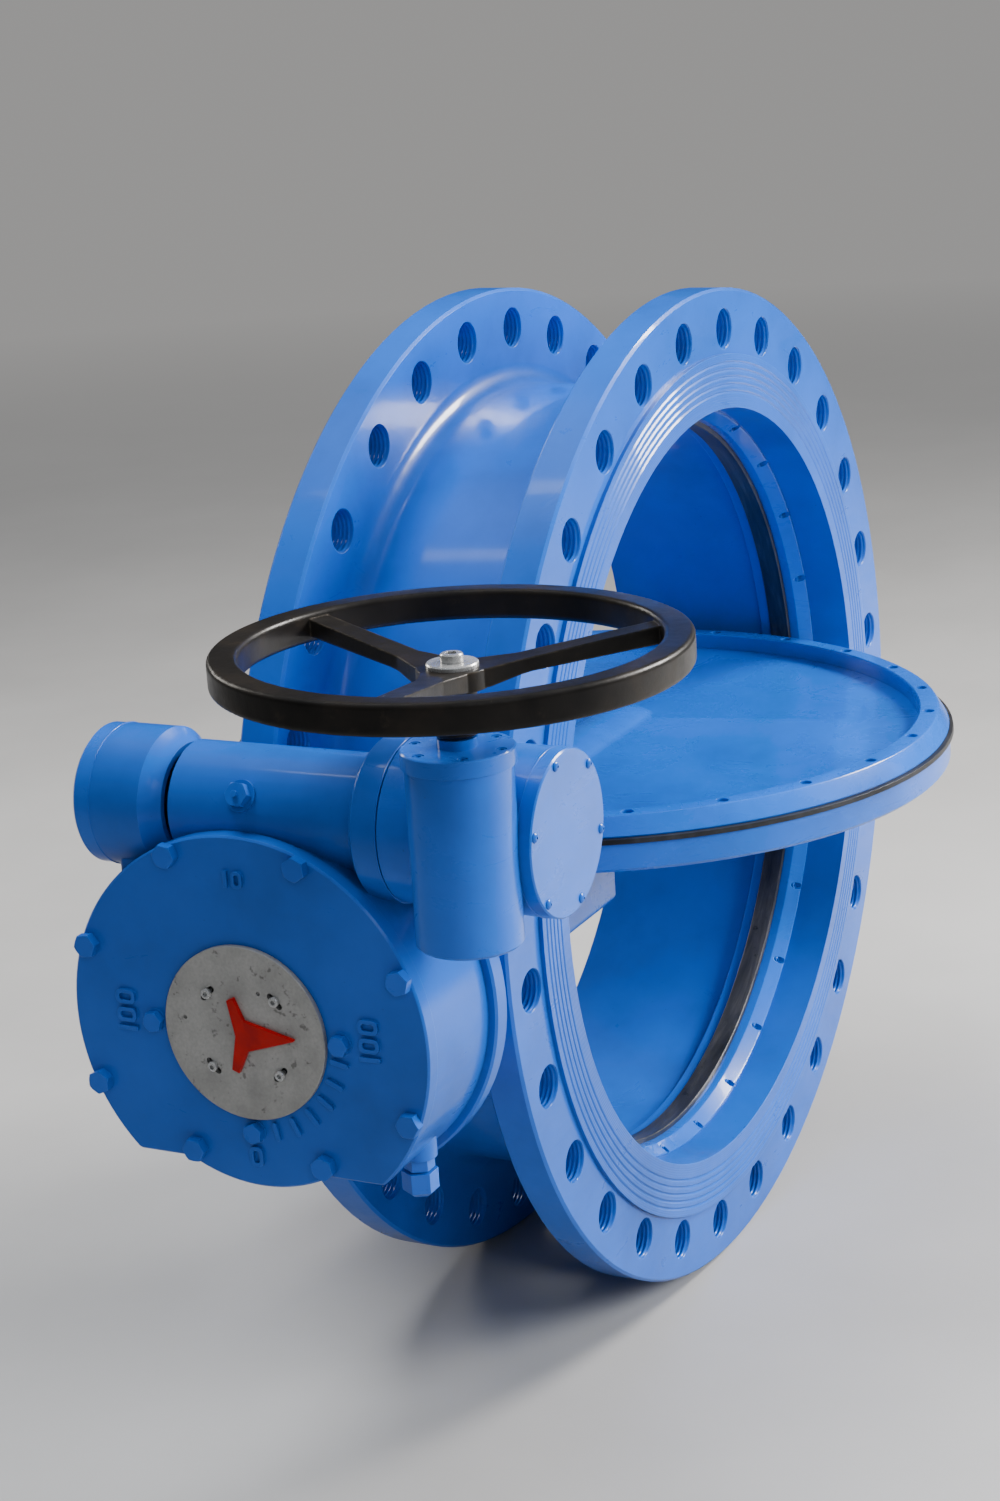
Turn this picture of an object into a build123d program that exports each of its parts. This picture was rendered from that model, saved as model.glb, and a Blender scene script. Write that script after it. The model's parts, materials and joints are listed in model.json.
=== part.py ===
"""Large double flanged butterfly valve with a two stage worm gear unit and a handwheel.

Millimetres.  X runs along the disc shaft (gear unit at -X), Y along the pipe (front
flange at -Y), Z up.  The origin is midway between the flange faces on the pipe axis.
The disc is fully open.
"""
from build123d import *
import math
import os

os.makedirs("parts", exist_ok=True)

# ================================================================ driving dimensions
HALF_L = 165.0                  # half face-to-face length
R_FLANGE, FLANGE_T = 592.5, 50.0    # thickness includes the raised face
RAISED_R, RAISED_H = 516.0, 5.0
R_BORE, R_BARREL = 453.0, 478.0
SEAT_TO_SHAFT = 66.0
SHAFT_OFFSET = 10.0             # shaft axis below the pipe axis, disc axis behind the shaft
Z_SHAFT = -SHAFT_OFFSET
Z_SEAL = Z_SHAFT + SEAT_TO_SHAFT    # seal plane of the open disc
R_SEAL = 438.0
CONE = 0.1507                   # slope of the seat cone
SEAT_GAP = 0.25
SEAT_FRONT, SEAT_BACK = -88.0, -60.0    # ends of the seat ring along Y
SHAFT_R = 50.0
SHAFT_BORE_R = SHAFT_R + 0.05   # with running clearance
BUSH_R = 58.0
BUSH_FIT_R = BUSH_R - 0.03      # outside of the sleeves pressed into the body

# stations of the gear unit along X, from the body outwards
PAD_X, PAD_T = -689.0, 25       # mounting face and thickness of the neck pad
PAD_R = 175.0
PAD_BACK = PAD_X + PAD_T
GASKET_T = 1
X_HOUSE_BACK = PAD_X - GASKET_T
X_CHAMBER = X_HOUSE_BACK - 24   # floor of the wheel chamber
X_HOUSE = -825.0                # open face of the housing
X_COVER_BACK = X_HOUSE - GASKET_T
X_COVER = -843.0                # outer face of the cover

# main and second worm stage: module, wheel teeth, worm pitch radius
MODULE_1, TEETH_1, WORM_R_1 = 6.0, 55, 42.0
MODULE_2, TEETH_2, WORM_R_2, STARTS_2 = 3.5, 34, 32.5, 2
WHEEL_PITCH_R_1 = MODULE_1 * TEETH_1 / 2
WHEEL_PITCH_R_2 = MODULE_2 * TEETH_2 / 2
PRESSURE_ANGLE = math.radians(20)
X_WORM = -765.0                 # main worm axis, parallel to Y
Z_WORM = Z_SHAFT + WHEEL_PITCH_R_1 + WORM_R_1
X_INPUT = X_WORM - (WHEEL_PITCH_R_2 + WORM_R_2)     # input shaft axis, parallel to Z
Y_INPUT = -260.0

# screw circles: radius, count, first angle
FLANGE_BOLTS = (545.0, 28, 90 + 180 / 28)
SEAT_SCREWS = (448, 26, 180 / 26)
DISC_SCREWS = (409, 24, 0)
PAD_BOLTS = (149, 8, 22.5)
IDLE_BOLTS = (82, 6, 30)
JOINT_SCREWS = (57.5, 6, 30)
WORM_CAP_SCREWS = (60.5, 6, 0)
DIAL_SCREWS = (54, 4, 45)
INPUT_CAP_SCREWS = (43, 6, 32)


# ================================================================ planes and places
def at_x(x):
    """Plane across the shaft axis facing +X; local x runs to +Y, local y up."""
    return Plane(origin=(x, 0, Z_SHAFT), x_dir=(0, 1, 0), z_dir=(1, 0, 0))


def at_nx(x):
    """Plane across the shaft axis facing -X; local x runs to -Y, local y up."""
    return Plane(origin=(x, 0, Z_SHAFT), x_dir=(0, -1, 0), z_dir=(-1, 0, 0))


def at_y(y):
    """Plane across the worm axis facing +Y."""
    return Plane(origin=(X_WORM, y, Z_WORM), x_dir=(-1, 0, 0), z_dir=(0, 1, 0))


def at_ny(y):
    """Plane across the worm axis facing -Y."""
    return Plane(origin=(X_WORM, y, Z_WORM), x_dir=(1, 0, 0), z_dir=(0, -1, 0))


def upward(x, y, z):
    """Plane facing +Z at a point."""
    return Plane(origin=(x, y, z), x_dir=(1, 0, 0), z_dir=(0, 0, 1))


def at_input(z):
    """Plane across the input shaft axis facing +Z."""
    return upward(X_INPUT, Y_INPUT, z)


def at_disc(z):
    """Plane across the open disc facing +Z."""
    return upward(0, SHAFT_OFFSET, z)


def at_pipe(y):
    """Plane across the pipe axis facing -Y."""
    return Plane(origin=(0, y, 0), x_dir=(1, 0, 0), z_dir=(0, -1, 0))


# axes, with a plane through each to draw turned profiles on
DISC_SECTION = Plane.XZ.offset(-SHAFT_OFFSET)
DISC_AXIS = Axis((0, SHAFT_OFFSET, 0), (0, 0, 1))
WORM_SECTION = Plane(origin=(X_WORM, 0, Z_WORM), x_dir=(0, 1, 0), z_dir=(-1, 0, 0))
WORM_AXIS = Axis((X_WORM, 0, Z_WORM), (0, 1, 0))
INPUT_SECTION = Plane(origin=(X_INPUT, Y_INPUT, 0), x_dir=(1, 0, 0), z_dir=(0, -1, 0))
INPUT_AXIS = Axis((X_INPUT, Y_INPUT, 0), (0, 0, 1))


def polar(radius, degrees):
    angle = math.radians(degrees)
    return (radius * math.cos(angle), radius * math.sin(angle))


def polar_spots(radius, angles):
    """Flat locations on a circle, each turned to its own angle."""
    return [Location((*polar(radius, a), 0), (0, 0, a)) for a in angles]


def ring_spots(plane, ring):
    """World locations of a screw circle on a plane."""
    radius, count, start = ring
    angles = [start + 360.0 * i / count for i in range(count)]
    return [plane.location * spot for spot in polar_spots(radius, angles)]


# ================================================================ shapes for the active part
# Each helper hands its finished sketch over, as a sketch made here joins no outer builder.
def rod(plane, radius, length, mode=Mode.ADD):
    with BuildSketch(plane) as face:
        Circle(radius)
    extrude(face.sketch, amount=length, mode=mode)


def bore(plane, radius, depth):
    rod(plane, radius, depth, Mode.SUBTRACT)


def tube(plane, outer, inner, length, mode=Mode.ADD):
    with BuildSketch(plane) as face:
        Circle(outer)
        Circle(inner, mode=Mode.SUBTRACT)
    extrude(face.sketch, amount=length, mode=mode)


def rods_at(plane, points, radius, length, both=False, mode=Mode.ADD):
    with BuildSketch(plane) as faces:
        with Locations(*points):
            Circle(radius)
    extrude(faces.sketch, amount=length, both=both, mode=mode)


def drill_at(plane, points, radius, depth, both=False):
    rods_at(plane, points, radius, depth, both, Mode.SUBTRACT)


def drill_ring(plane, ring, radius, depth):
    """Round holes on a screw circle."""
    circle_r, count, start = ring
    with BuildSketch(plane) as holes:
        with PolarLocations(circle_r, count, start_angle=start):
            Circle(radius)
    extrude(holes.sketch, amount=depth, mode=Mode.SUBTRACT)


def slab(plane, points, length, both=False, mode=Mode.ADD):
    """Extruded polygon."""
    with BuildSketch(plane) as face:
        with BuildLine():
            Polyline(*points, points[0])
        make_face()
    extrude(face.sketch, amount=length, both=both, mode=mode)


def lathe(plane, points, axis, mode=Mode.ADD):
    """Polygon turned about an axis."""
    with BuildSketch(plane) as profile:
        with BuildLine():
            Polyline(*points, points[0])
        make_face()
    revolve(profile.sketch, axis=axis, mode=mode)


# ================================================================ screws and saving
def hex_bolt(flats, head, shank_r, shank):
    """Hexagon head screw with a chamfered head crown, seated at z = 0."""
    with BuildPart() as bolt:
        with BuildSketch(Plane.XY):
            RegularPolygon(flats / 2, 6, major_radius=False)
        extrude(amount=head)
        crown = [(0, -1), (flats, -1), (flats, head - flats * 0.29), (flats * 0.5, head), (0, head)]
        lathe(Plane.XZ, crown, Axis.Z, Mode.INTERSECT)
        rod(Plane.XY, shank_r, -shank)
        chamfer(bolt.faces().sort_by(Axis.Z)[0].edges(), shank_r * 0.2)
    return bolt.part


def socket_screw(head_r, head, shank_r, shank, key):
    """Cylinder head screw with a hexagon socket, seated at z = 0."""
    with BuildPart() as cap_screw:
        rod(Plane.XY, head_r, head)
        chamfer(cap_screw.faces().sort_by(Axis.Z)[-1].edges(), head_r * 0.12)
        with BuildSketch(Plane.XY.offset(head)):
            RegularPolygon(key / 2, 6, major_radius=False)
        extrude(amount=-head * 0.6, mode=Mode.SUBTRACT)
        rod(Plane.XY, shank_r, -shank)
    return cap_screw.part


def save(builder, name):
    builder.part.label = name
    export_step(builder.part, f"parts/{name}.step")


def save_screws(name, places, make_screw, **sizes):
    """Piece made of one screw repeated at world locations."""
    with BuildPart() as screws:
        with Locations(*places):
            add(make_screw(**sizes))
    save(screws, name)


# ================================================================ valve body
FLANGE_BACK = HALF_L - FLANGE_T     # distances from the mid plane
RAISED_BACK = HALF_L - RAISED_H
FLANGE_EDGE = 3                     # chamfer of the flange rims
LEDGE_R, LEDGE_BACK = 444, SEAT_BACK + 14   # shoulder behind the seat ring
NECK_R, NECK_ROOT_X = 112, -460
GUSSET_ROOT_X = -455
BOSS_ROOT_X, BOSS_X, BOSS_R = 455, 556, 104     # idle side boss and its end face
GROOVE_RADII = (472, 480.5, 489, 497.5, 506)

with BuildPart() as valve_body:
    with BuildSketch(Plane.XY) as shell:
        with BuildLine():
            # radius, Y
            Polyline(
                (R_BORE, -HALF_L), (RAISED_R, -HALF_L), (RAISED_R, -RAISED_BACK),
                (R_FLANGE - FLANGE_EDGE, -RAISED_BACK), (R_FLANGE, -RAISED_BACK + FLANGE_EDGE),
                (R_FLANGE, -FLANGE_BACK - FLANGE_EDGE), (R_FLANGE - FLANGE_EDGE, -FLANGE_BACK),
                (R_BARREL, -FLANGE_BACK), (R_BARREL, FLANGE_BACK),
                (R_FLANGE - FLANGE_EDGE, FLANGE_BACK), (R_FLANGE, FLANGE_BACK + FLANGE_EDGE),
                (R_FLANGE, RAISED_BACK - FLANGE_EDGE), (R_FLANGE - FLANGE_EDGE, RAISED_BACK),
                (RAISED_R, RAISED_BACK), (RAISED_R, HALF_L), (R_BORE, HALF_L),
                (R_BORE, LEDGE_BACK), (LEDGE_R, LEDGE_BACK), (LEDGE_R, SEAT_BACK),
                (R_BORE, SEAT_BACK), (R_BORE, -HALF_L),
            )
        make_face()
        fillet([v for v in shell.vertices() if abs(v.X - R_BARREL) < 0.1], 26)
    revolve(axis=Axis.Y)
    # drive side neck, its gear unit pad and two gussets
    rod(at_x(PAD_X), NECK_R, NECK_ROOT_X - PAD_X)
    rod(at_x(PAD_X), PAD_R, PAD_T)
    with BuildSketch(Plane.XZ):
        for side in (1, -1):
            with BuildLine():
                Polyline(
                    (PAD_BACK, Z_SHAFT + side * 60), (PAD_BACK, Z_SHAFT + side * 128),
                    (PAD_X + 80, Z_SHAFT + side * 128), (GUSSET_ROOT_X, Z_SHAFT + side * 185),
                    (GUSSET_ROOT_X, Z_SHAFT + side * 60), (PAD_BACK, Z_SHAFT + side * 60),
                )
            make_face()
    extrude(amount=12, both=True)
    rod(at_x(BOSS_ROOT_X), BOSS_R, BOSS_X - BOSS_ROOT_X)
    # clear the flow bore of the neck roots, then bore for the shafts
    bore(at_pipe(LEDGE_BACK), R_BORE, LEDGE_BACK - HALF_L)
    bore(at_pipe(SEAT_BACK), R_BORE, HALF_L + SEAT_BACK)
    bore(at_pipe(LEDGE_BACK + 1), LEDGE_R, 16)
    bore(at_x(-700), BUSH_R, 270)
    bore(at_x(430), BUSH_R, 140)
    # flange bolt holes straddling the vertical centre line, front then rear
    for hole_y, hole_r in ((-FLANGE_BACK, 24.0), (HALF_L + 1, 24.5)):
        drill_ring(at_pipe(hole_y), FLANGE_BOLTS, hole_r, FLANGE_T + 1)
    # turned V grooves on both raised faces
    for inward in (1, -1):
        face_y = -HALF_L * inward
        with BuildSketch(Plane.XY):
            for groove_r in GROOVE_RADII:
                with BuildLine():
                    Polyline(
                        (groove_r - 2.2, face_y - 0.2 * inward),
                        (groove_r, face_y + 1.6 * inward),
                        (groove_r + 2.2, face_y - 0.2 * inward),
                        (groove_r - 2.2, face_y - 0.2 * inward),
                    )
                make_face()
        revolve(axis=Axis.Y, mode=Mode.SUBTRACT)
    drill_ring(at_x(PAD_X - 1), PAD_BOLTS, 11, 40)
    drill_ring(at_x(BOSS_X + 1), IDLE_BOLTS, 6, -27)
    # tapped holes behind the seat ring
    drill_ring(at_pipe(SEAT_BACK), SEAT_SCREWS, 3, -11)
save(valve_body, "valve_body")

# ---------------------------------------------------------------- seat
SEAT_OUTER_R = R_BORE - 0.1
SEAT_CLAMP_FRONT = SEAT_FRONT - 27
SEAT_SCREW_Y = SEAT_FRONT - 13      # where the screw heads bear
SEAT_HOLE_R = 3.2


def cone_r(y):
    """Seat cone radius at this distance along the pipe."""
    return R_SEAL + SEAT_GAP + CONE * (y + SEAT_TO_SHAFT)


with BuildPart() as seat_ring:
    lathe(Plane.XY, [
        (SEAT_OUTER_R, SEAT_FRONT), (cone_r(SEAT_FRONT + 1) + 1, SEAT_FRONT),
        (cone_r(SEAT_FRONT + 1), SEAT_FRONT + 1), (cone_r(SEAT_BACK - 1), SEAT_BACK - 1),
        (cone_r(SEAT_BACK - 1) + 1, SEAT_BACK), (SEAT_OUTER_R, SEAT_BACK),
    ], Axis.Y)
    drill_ring(at_pipe(SEAT_FRONT), SEAT_SCREWS, SEAT_HOLE_R, SEAT_FRONT - SEAT_BACK)
save(seat_ring, "seat_ring")

with BuildPart() as seat_clamp_ring:
    lathe(Plane.XY, [
        (SEAT_OUTER_R, SEAT_CLAMP_FRONT), (451, SEAT_CLAMP_FRONT),
        (450, SEAT_CLAMP_FRONT + 1), (441.5, SEAT_FRONT - 12), (441, SEAT_FRONT - 11),
        (441, SEAT_FRONT), (SEAT_OUTER_R, SEAT_FRONT),
    ], Axis.Y)
    drill_ring(at_pipe(SEAT_FRONT), SEAT_SCREWS, SEAT_HOLE_R, 20)
    drill_ring(at_pipe(SEAT_SCREW_Y), SEAT_SCREWS, 4.6, 16)
save(seat_clamp_ring, "seat_clamp_ring")

save_screws("seat_ring_screws", ring_spots(at_pipe(SEAT_SCREW_Y), SEAT_SCREWS),
            socket_screw, head_r=4.5, head=6.0, shank_r=2.98, shank=50, key=4)

# ================================================================ disc
RIM_R = 434
CLAMP_INNER_R = 398
SEAL_LOW, SEAL_HIGH = Z_SEAL - 3, Z_SEAL + 3    # faces of the disc seal
DISC_SCREW_Z = 71                   # where the screw heads bear
HUB_HALF = 430                      # hub ends lie at +-X
DRIVE_HUB_R, DRIVE_HUB_END = 84, 60
PIN_R, PIN_FIT_R = 14, 13.96
DRIVE_PINS = ((-355, Z_SHAFT), (-245, Z_SHAFT))
IDLE_PINS = ((290, Z_SHAFT),)

# rib outlines: Y, Z
LONG_RIB = (
    (-385, 40), (-385, 22), (-110, Z_SHAFT - 50), (110, Z_SHAFT - 50), (400, 22), (400, 40),
)
SHORT_RIB = (
    (-350, 40), (-350, 22), (-80, Z_SHAFT - 40), (80, Z_SHAFT - 40), (368, 22), (368, 40),
)

with BuildPart() as disc:
    lathe(DISC_SECTION, [
        (0, 37), (392, 37), (400, 29), (400, 20), (430, 20), (RIM_R, 24), (RIM_R, SEAL_LOW),
        (CLAMP_INNER_R - 0.1, SEAL_LOW), (CLAMP_INNER_R - 0.1, 61), (0, 61),
    ], DISC_AXIS)
    # shaft hub on the drive side with its rounded nose, and the idle side hub
    rod(at_x(-HUB_HALF), DRIVE_HUB_R, HUB_HALF + DRIVE_HUB_END)
    with Locations((DRIVE_HUB_END, 0, Z_SHAFT)):
        Sphere(DRIVE_HUB_R)
    rod(at_x(140), 69, HUB_HALF - 140)
    # rectangular pin block around the drive hub, set low
    with BuildSketch(at_x(-415)):
        with Locations((0, -22)):
            RectangleRounded(190, 124, 14)
    extrude(amount=235)
    for rib_x, rib_outline in ((-150, LONG_RIB), (0, LONG_RIB), (170, SHORT_RIB)):
        slab(Plane.YZ.offset(rib_x), rib_outline, 9, both=True)
    # clear the seat of the clamp ring and the outside of the rim
    tube(at_disc(SEAL_LOW), 460, CLAMP_INNER_R - 0.1, 60, Mode.SUBTRACT)
    tube(at_disc(-200), 520, RIM_R, 300, Mode.SUBTRACT)
    # shaft bores, thrust ring recesses and pin holes
    bore(at_x(-450), SHAFT_BORE_R, 310)
    bore(at_x(180), SHAFT_BORE_R, 270)
    bore(at_x(-450), 60, 20)
    bore(at_x(HUB_HALF), 60, 20)
    drill_at(Plane.XZ, DRIVE_PINS + IDLE_PINS, PIN_R, 120, both=True)
    # tapped holes for the clamp ring screws
    drill_ring(at_disc(SEAL_LOW), DISC_SCREWS, 4, -11)
save(disc, "disc")

with BuildPart() as disc_clamp_ring:
    lathe(DISC_SECTION, [
        (CLAMP_INNER_R, SEAL_LOW), (404, SEAL_LOW), (404, SEAL_HIGH), (432, SEAL_HIGH),
        (433, Z_SEAL + 5), (421.5, 79.5), (419, 81), (399.5, 81), (CLAMP_INNER_R, 79.5),
    ], DISC_AXIS)
    drill_ring(at_disc(50), DISC_SCREWS, 4.3, 40)
    drill_ring(at_disc(DISC_SCREW_Z), DISC_SCREWS, 7, 20)
save(disc_clamp_ring, "disc_clamp_ring")

with BuildPart() as disc_seal:
    lathe(DISC_SECTION, [
        (404.1, SEAL_LOW), (434.2, SEAL_LOW), (R_SEAL + CONE * 2.6, Z_SEAL - 2.6),
        (R_SEAL - CONE * 2.6, Z_SEAL + 2.6), (434.2, SEAL_HIGH), (404.1, SEAL_HIGH),
    ], DISC_AXIS)
    drill_ring(at_disc(Z_SEAL - 4), DISC_SCREWS, 4.4, 8)
save(disc_seal, "disc_seal")

save_screws("disc_clamp_screws", ring_spots(at_disc(DISC_SCREW_Z), DISC_SCREWS),
            socket_screw, head_r=6.8, head=7.0, shank_r=3.98, shank=28, key=6)

# ---------------------------------------------------------------- shafts, pins and key
KEY_X, KEY_L, KEY_W = -772, 84, 28.0
KEY_FLOOR = Plane.XY.offset(Z_SHAFT - SHAFT_R + 10)     # floor of the shaft keyway
SHAFT_END = -838

with BuildPart() as drive_shaft:
    rod(at_x(SHAFT_END), SHAFT_R, -142 - SHAFT_END)
    chamfer(drive_shaft.edges().filter_by(GeomType.CIRCLE), 2)
    drill_at(Plane.XZ, DRIVE_PINS, PIN_R, 80, both=True)
    with BuildSketch(KEY_FLOOR):
        with Locations((KEY_X, 0)):
            SlotOverall(KEY_L, KEY_W)
    extrude(amount=-20, mode=Mode.SUBTRACT)
    # centre hole in the outer end
    with Locations(at_nx(SHAFT_END)):
        CounterSinkHole(radius=5, counter_sink_radius=9, depth=30)
save(drive_shaft, "drive_shaft")

with BuildPart() as idle_shaft:
    rod(at_x(182), SHAFT_R, 546 - 182)
    chamfer(idle_shaft.edges().filter_by(GeomType.CIRCLE), 2)
    drill_at(Plane.XZ, IDLE_PINS, PIN_R, 80, both=True)
save(idle_shaft, "idle_shaft")

with BuildPart() as disc_pins:
    rods_at(Plane.XZ, DRIVE_PINS, PIN_FIT_R, 92, both=True)
    rods_at(Plane.XZ, IDLE_PINS, PIN_FIT_R, 66, both=True)
    chamfer(disc_pins.edges().filter_by(GeomType.CIRCLE), 1.5)
save(disc_pins, "disc_pins")

with BuildPart() as shaft_key:
    with BuildSketch(KEY_FLOOR):
        with Locations((KEY_X, 0)):
            SlotOverall(KEY_L - 0.1, KEY_W - 0.1)
    extrude(amount=-16)
save(shaft_key, "shaft_key")

# ---------------------------------------------------------------- bearings and shaft seals
BUSH_END = 441          # disc side end of both bushes, at +-X
CARRIER_X = -650
SEAL_GROOVES = (-640, -606)
GROOVE_W = 6

with BuildPart() as drive_bush:
    tube(at_x(-560), BUSH_FIT_R, SHAFT_BORE_R, 560 - BUSH_END)
save(drive_bush, "drive_bush")

with BuildPart() as idle_bush:
    tube(at_x(BUSH_END), BUSH_FIT_R, SHAFT_BORE_R, 99)
save(idle_bush, "idle_bush")

with BuildPart() as thrust_rings:
    for thrust_x in (-440.9, 430.1):
        tube(at_x(thrust_x), 59.5, SHAFT_BORE_R, 10.8)
save(thrust_rings, "thrust_rings")

with BuildPart() as seal_carrier:
    tube(at_x(CARRIER_X), BUSH_FIT_R, SHAFT_BORE_R, 60)
    for groove_x in SEAL_GROOVES:
        tube(at_x(groove_x), 55.2, SHAFT_R - 2, GROOVE_W, Mode.SUBTRACT)
    chamfer(seal_carrier.faces().sort_by(Axis.X)[-1].edges(), 1)
save(seal_carrier, "seal_carrier")

with BuildPart() as shaft_o_rings:
    for groove_x in SEAL_GROOVES:
        with Locations(at_x(groove_x + GROOVE_W / 2)):
            Torus(52.65, 2.5)
save(shaft_o_rings, "shaft_o_rings")

with BuildPart() as seal_retainer:
    tube(at_x(-688.9), BUSH_FIT_R, SHAFT_R + 0.3, 38.8)
save(seal_retainer, "seal_retainer")

# ---------------------------------------------------------------- idle side cover
IDLE_GASKET_T, IDLE_COVER_T = 2, 18
IDLE_COVER_R, IDLE_HOLE_R = BOSS_R - 1, 6.6
IDLE_COVER_X = BOSS_X + IDLE_GASKET_T
IDLE_COVER_OUT = IDLE_COVER_X + IDLE_COVER_T

with BuildPart() as idle_cover_gasket:
    tube(at_x(BOSS_X), IDLE_COVER_R, 59, IDLE_GASKET_T)
    drill_ring(at_x(BOSS_X), IDLE_BOLTS, IDLE_HOLE_R, IDLE_GASKET_T)
save(idle_cover_gasket, "idle_cover_gasket")

with BuildPart() as idle_cover:
    rod(at_x(IDLE_COVER_X), IDLE_COVER_R, IDLE_COVER_T)
    chamfer(idle_cover.faces().sort_by(Axis.X)[-1].edges(), 2.5)
    rod(at_x(550), BUSH_R - 0.2, 8.5)
    drill_ring(at_x(IDLE_COVER_OUT), IDLE_BOLTS, IDLE_HOLE_R, -30)
save(idle_cover, "idle_cover")

save_screws("idle_cover_bolts", ring_spots(at_x(IDLE_COVER_OUT), IDLE_BOLTS),
            hex_bolt, flats=19, head=8, shank_r=5.98, shank=36)

# ================================================================ gear unit case
Y_JOINT, Y_CAP = -160, 165      # end faces of the worm housing along Y
CAP_SEAT_Y = 178                # where the worm cap screw heads bear
BARREL_R, COLLAR_R = 71, 80     # rear bearing barrel, front joint collar
WHEEL_BUSH_R, JOURNAL_R = 70, 62
COVER_HOLE_R = 6.6
STOP_Y, STOP_BOSS_Z = -137, Z_SHAFT - 144
PLUG_Y, PLUG_BOSS_H = -2, 62.5
PLUG_TILT = math.radians(26)
PLUG_DIR = (-math.cos(PLUG_TILT), 0, math.sin(PLUG_TILT))
# positions in the at_nx planes
COVER_BOLTS = [polar(190, a) for a in (-22.5, 22.5, 67.5, 112.5, 157.5, 202.5)]
COVER_BOLTS += [(77, -131), (-70, -132)]
COVER_PLUGS = [(105, 0), (-105, 0), (0, -105)]


def gear_outline(grow=0.0):
    """Round gear case outline with its clipped lower edge, in the active sketch."""
    Circle(200 + grow)
    with Locations((0, -143 - grow - 100)):
        Rectangle(460, 200, mode=Mode.SUBTRACT)
    Circle(164 + grow)


def chamber_outline():
    """Wheel chamber outline, cut back below the hub, in the active sketch."""
    Circle(176)
    with Locations((0, -60 - 100)):
        Rectangle(460, 200, mode=Mode.SUBTRACT)
    Circle(110)


def at_plug(distance):
    """Plane across the grease plug, this far from the worm axis, facing outwards."""
    origin = (X_WORM + distance * PLUG_DIR[0], PLUG_Y, Z_WORM + distance * PLUG_DIR[2])
    return Plane(origin=origin, x_dir=(0, 1, 0), z_dir=PLUG_DIR)


def at_stop(z):
    """Plane across the stop screw facing +Z."""
    return upward(X_WORM, STOP_Y, z)


with BuildPart() as gearbox_housing:
    with BuildSketch(at_nx(X_CHAMBER)):
        gear_outline(-1.5)
    extrude(amount=X_CHAMBER - X_HOUSE)
    rod(at_nx(X_HOUSE_BACK), 208, X_HOUSE_BACK - X_CHAMBER)
    drums = gearbox_housing.faces().filter_by(GeomType.CYLINDER).sort_by(SortBy.RADIUS)
    chamfer(drums[-1].edges(), 2.5)
    # worm tube, rear bearing barrel, front joint collar
    rod(at_y(Y_JOINT), 60, 240)
    lathe(WORM_SECTION, [
        (90, 0), (90, 57), (97, 61), (102, 65), (108, BARREL_R), (Y_CAP, BARREL_R), (Y_CAP, 0),
    ], WORM_AXIS)
    lathe(WORM_SECTION, [
        (Y_JOINT, 0), (Y_JOINT, COLLAR_R), (-134, COLLAR_R), (-130, 76), (-130, 0),
    ], WORM_AXIS)
    # flat sided foot under the bearing barrel
    with BuildSketch(upward(X_WORM, 125, Z_WORM)):
        RectangleRounded(96, 56, 8)
    extrude(amount=-96)
    # grease plug boss, stop screw boss
    with Locations(at_plug(0)):
        Cylinder(16, PLUG_BOSS_H, align=(Align.CENTER, Align.CENTER, Align.MIN))
    rod(at_stop(STOP_BOSS_Z), 19, 50)
    # wheel chamber, worm bore and wheel bush bore
    with BuildSketch(at_nx(X_CHAMBER)):
        chamber_outline()
    extrude(amount=X_CHAMBER - X_HOUSE, mode=Mode.SUBTRACT)
    bore(at_y(Y_JOINT), 50.5, Y_CAP - Y_JOINT)
    bore(at_nx(X_HOUSE_BACK), WHEEL_BUSH_R, X_HOUSE_BACK - X_CHAMBER)
    # screw holes: body pad, cover, joint collar, worm cap
    drill_ring(at_nx(X_HOUSE_BACK), PAD_BOLTS, 10, 20)
    drill_at(at_nx(X_HOUSE), COVER_BOLTS, 6, -32)
    drill_ring(at_y(Y_JOINT), JOINT_SCREWS, 4, 20)
    drill_ring(at_y(Y_CAP), WORM_CAP_SCREWS, 4, -20)
    # grease plug hole, stop screw hole
    with Locations(at_plug(0)):
        Cylinder(7, 70, align=(Align.CENTER, Align.CENTER, Align.MIN), mode=Mode.SUBTRACT)
    bore(at_stop(Z_SHAFT - 150), 10, 100)
save(gearbox_housing, "gearbox_housing")

with BuildPart() as gearbox_gasket:
    tube(at_nx(PAD_X), PAD_R - 1, 71, GASKET_T)
    drill_ring(at_nx(PAD_X), PAD_BOLTS, 11, GASKET_T)
save(gearbox_gasket, "gearbox_gasket")

save_screws("gearbox_mounting_bolts", ring_spots(at_x(PAD_BACK), PAD_BOLTS),
            hex_bolt, flats=30, head=13, shank_r=9.97, shank=PAD_T + GASKET_T + 18)

with BuildSketch(Plane.XY) as chamber_shape:
    chamber_outline()

with BuildPart() as cover_gasket:
    with BuildSketch(at_nx(X_HOUSE)):
        gear_outline(-2)
        add(chamber_shape.sketch, mode=Mode.SUBTRACT)
        with Locations(*COVER_BOLTS):
            Circle(COVER_HOLE_R, mode=Mode.SUBTRACT)
    extrude(amount=GASKET_T)
save(cover_gasket, "cover_gasket")

# ---------------------------------------------------------------- gear unit cover
PLUG_PAD_H = 0.8
MARK_H = 3.4            # height of the raised marks and numerals


def zero(width, height, corner, hole_width, hole_height, hole_corner):
    """Figure 0 in the active sketch."""
    RectangleRounded(width, height, corner)
    RectangleRounded(hole_width, hole_height, hole_corner, mode=Mode.SUBTRACT)


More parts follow.
